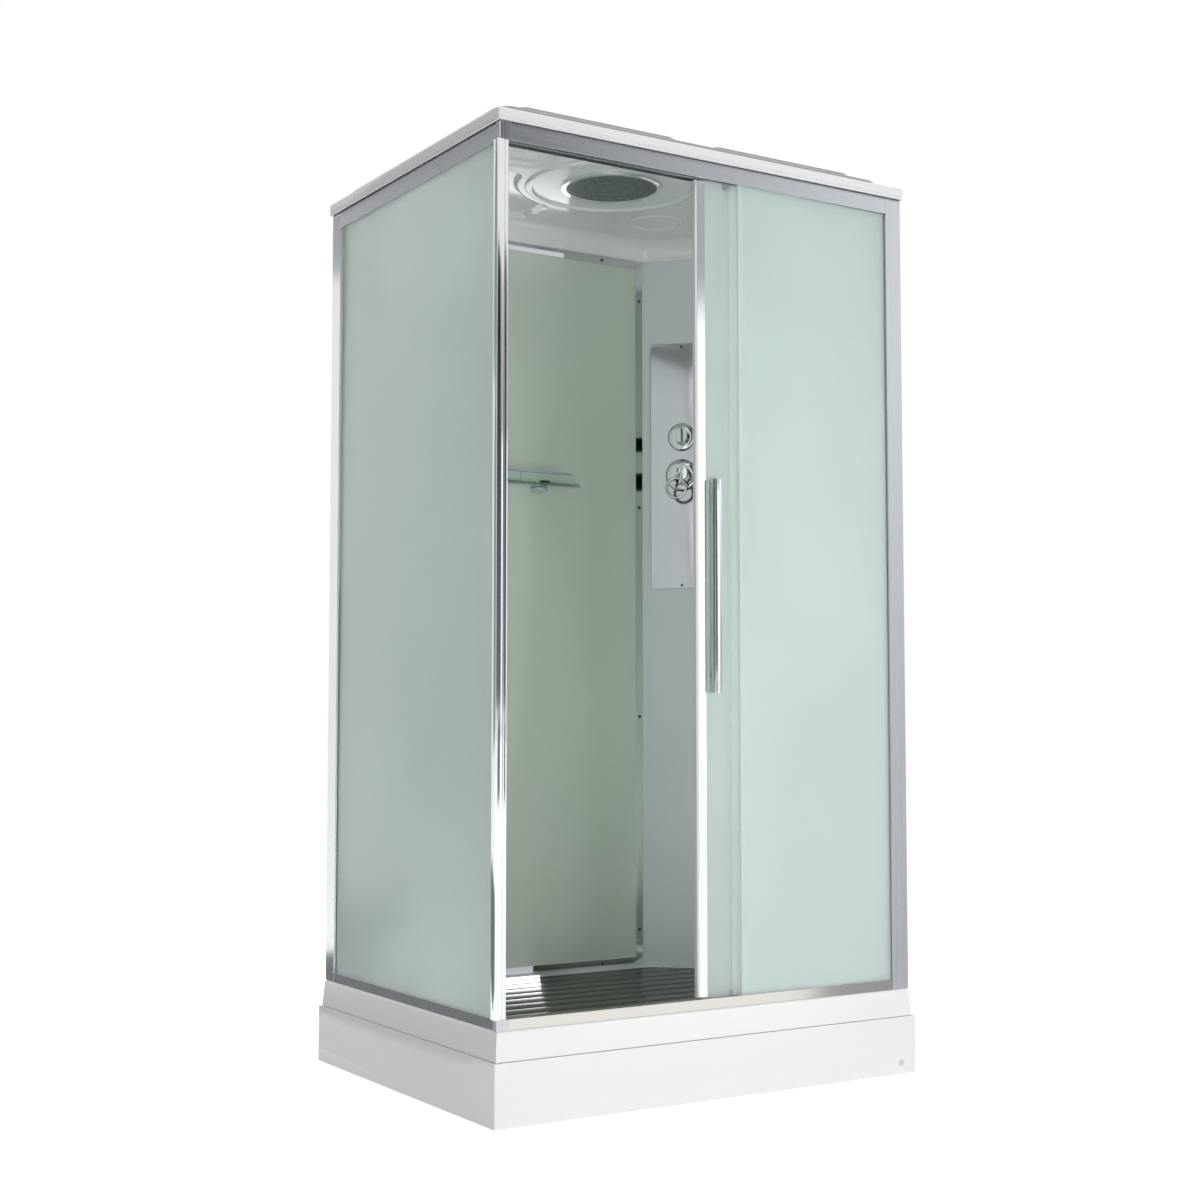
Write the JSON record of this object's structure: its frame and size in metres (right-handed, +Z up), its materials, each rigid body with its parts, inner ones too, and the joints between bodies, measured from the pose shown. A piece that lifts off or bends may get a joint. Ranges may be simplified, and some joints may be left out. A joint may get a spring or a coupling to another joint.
{
  "type": "shower cabin",
  "caption": "Corner shower cabin with a raised tray, frosted glass front and side, a sliding door, a services column with mixer, a shelf and a domed roof with a rain head.",
  "frame": {"origin": "middle of the footprint, on the floor", "axes": "+X to the right seen from the front, +Y to the back wall, +Z up"},
  "size_m": [1.15, 0.9, 2.2325],
  "materials": {
    "acrylic_white": "glossy moulded acrylic",
    "abs_white": "glossy vacuum-formed ABS",
    "abs_grey": "satin light grey ABS",
    "galvanised_steel": "galvanised",
    "foot_plastic": "moulded",
    "waste_plastic": "moulded polypropylene",
    "decking": "brushed grey-brown wood-plastic decking",
    "satin_aluminium": "satin anodised",
    "bright_aluminium": "polished",
    "chrome": "polished chrome",
    "frosted_glass": "5 mm frosted toughened glass",
    "painted_glass": "5 mm back-painted glass, sage green",
    "clear_glass": "6 mm clear glass, polished edges",
    "clear_pvc": "clear flexible PVC",
    "magnet_seal": "white magnetic seal",
    "seal_rubber": "grey glazing rubber",
    "stainless": "stainless steel",
    "nylon": "white nylon",
    "brass": "cast brass",
    "head_face": "dark grey spray face"
  },
  "bodies": {
    "cabin": {"support_frame": "galvanised_steel", "adjustable_feet": "foot_plastic", "apron": "abs_white", "apron_screws": "stainless", "shower_tray": "acrylic_white", "waste_body": "waste_plastic", "waste_cover": "chrome", "decking_bearers": "decking", "decking_slats": "decking", "bottom_rail_front": "bright_aluminium", "bottom_rail_left": "bright_aluminium", "top_rail_front": "satin_aluminium", "top_rail_left": "satin_aluminium", "corner_connectors": "satin_aluminium", "corner_post": "chrome", "corner_magnet_strip": "magnet_seal", "rear_left_post": "satin_aluminium", "front_right_post": "satin_aluminium", "left_glass": "frosted_glass", "front_glass": "frosted_glass", "front_glass_seal": "clear_pvc", "glazing_seals": "seal_rubber", "back_wall_glass": "painted_glass", "back_wall_rails": "chrome", "back_wall_uprights": "chrome", "right_wall_glass": "painted_glass", "right_wall_rails": "chrome", "right_wall_uprights": "chrome", "column_panel": "abs_grey", "wall_screws": "stainless", "control_plate": "chrome", "plate_screws": "stainless", "diverter_valve": "brass", "diverter_rose": "chrome", "mixer_valve": "brass", "mixer_rose": "chrome", "riser_pipe": "stainless", "roof": "abs_white", "rain_head_body": "abs_white", "rain_head_bezel": "chrome", "rain_head_face": "head_face", "shelf_glass": "clear_glass", "shelf_rail": "chrome", "shelf_brackets": "chrome"},
    "door": {"door_glass": "frosted_glass", "door_profile": "chrome", "door_magnet_seal": "magnet_seal", "door_fin_seal": "clear_pvc", "door_handle": "chrome", "door_handle_mounts": "chrome", "top_roller_brackets": "stainless", "bottom_roller_brackets": "stainless"},
    "top_roller_left": {"top_roller_left": "nylon"},
    "top_roller_right": {"top_roller_right": "nylon"},
    "bottom_roller_left": {"bottom_roller_left": "nylon"},
    "bottom_roller_right": {"bottom_roller_right": "nylon"},
    "diverter": {"diverter_knob": "chrome"},
    "mixer": {"mixer_knob": "chrome"},
    "lever": {"mixer_lever": "chrome"}
  },
  "joints": [
    {"name": "door_slide", "type": "slide", "parent": "cabin", "child": "door", "axis": [1, 0, 0], "range_m": [-0.4965, 0]},
    {"name": "top_roller_left_spin", "type": "hinge", "parent": "door", "child": "top_roller_left", "pos_m": [0.052, -0.4035, 2.10805], "axis": [0, 1, 0], "range_deg": [-2600, 20]},
    {"name": "top_roller_right_spin", "type": "hinge", "parent": "door", "child": "top_roller_right", "pos_m": [0.49, -0.4035, 2.10805], "axis": [0, 1, 0], "range_deg": [-2600, 20]},
    {"name": "bottom_roller_left_spin", "type": "hinge", "parent": "door", "child": "bottom_roller_left", "pos_m": [0.062, -0.4035, 0.2103], "axis": [0, 1, 0], "range_deg": [-2600, 20]},
    {"name": "bottom_roller_right_spin", "type": "hinge", "parent": "door", "child": "bottom_roller_right", "pos_m": [0.49, -0.4035, 0.2103], "axis": [0, 1, 0], "range_deg": [-2600, 20]},
    {"name": "diverter_turn", "type": "hinge", "parent": "cabin", "child": "diverter", "pos_m": [0.45032, 0.34068, 1.625], "axis": [-0.7071, -0.7071, 0], "range_deg": [-90, 90]},
    {"name": "mixer_turn", "type": "hinge", "parent": "cabin", "child": "mixer", "pos_m": [0.45032, 0.34068, 1.518], "axis": [-0.7071, -0.7071, 0], "range_deg": [-30, 85]},
    {"name": "mixer_lift", "type": "hinge", "parent": "mixer", "child": "lever", "pos_m": [0.4158, 0.30675, 1.51402], "axis": [-0.7032, 0.7032, 0.1045], "range_deg": [0, 25]}
  ],
  "couplings": [
    {"joint": "top_roller_left_spin", "follows": "door_slide", "rad_per_m": 90.909},
    {"joint": "top_roller_right_spin", "follows": "door_slide", "rad_per_m": 90.909},
    {"joint": "bottom_roller_left_spin", "follows": "door_slide", "rad_per_m": 90.909},
    {"joint": "bottom_roller_right_spin", "follows": "door_slide", "rad_per_m": 90.909}
  ]
}
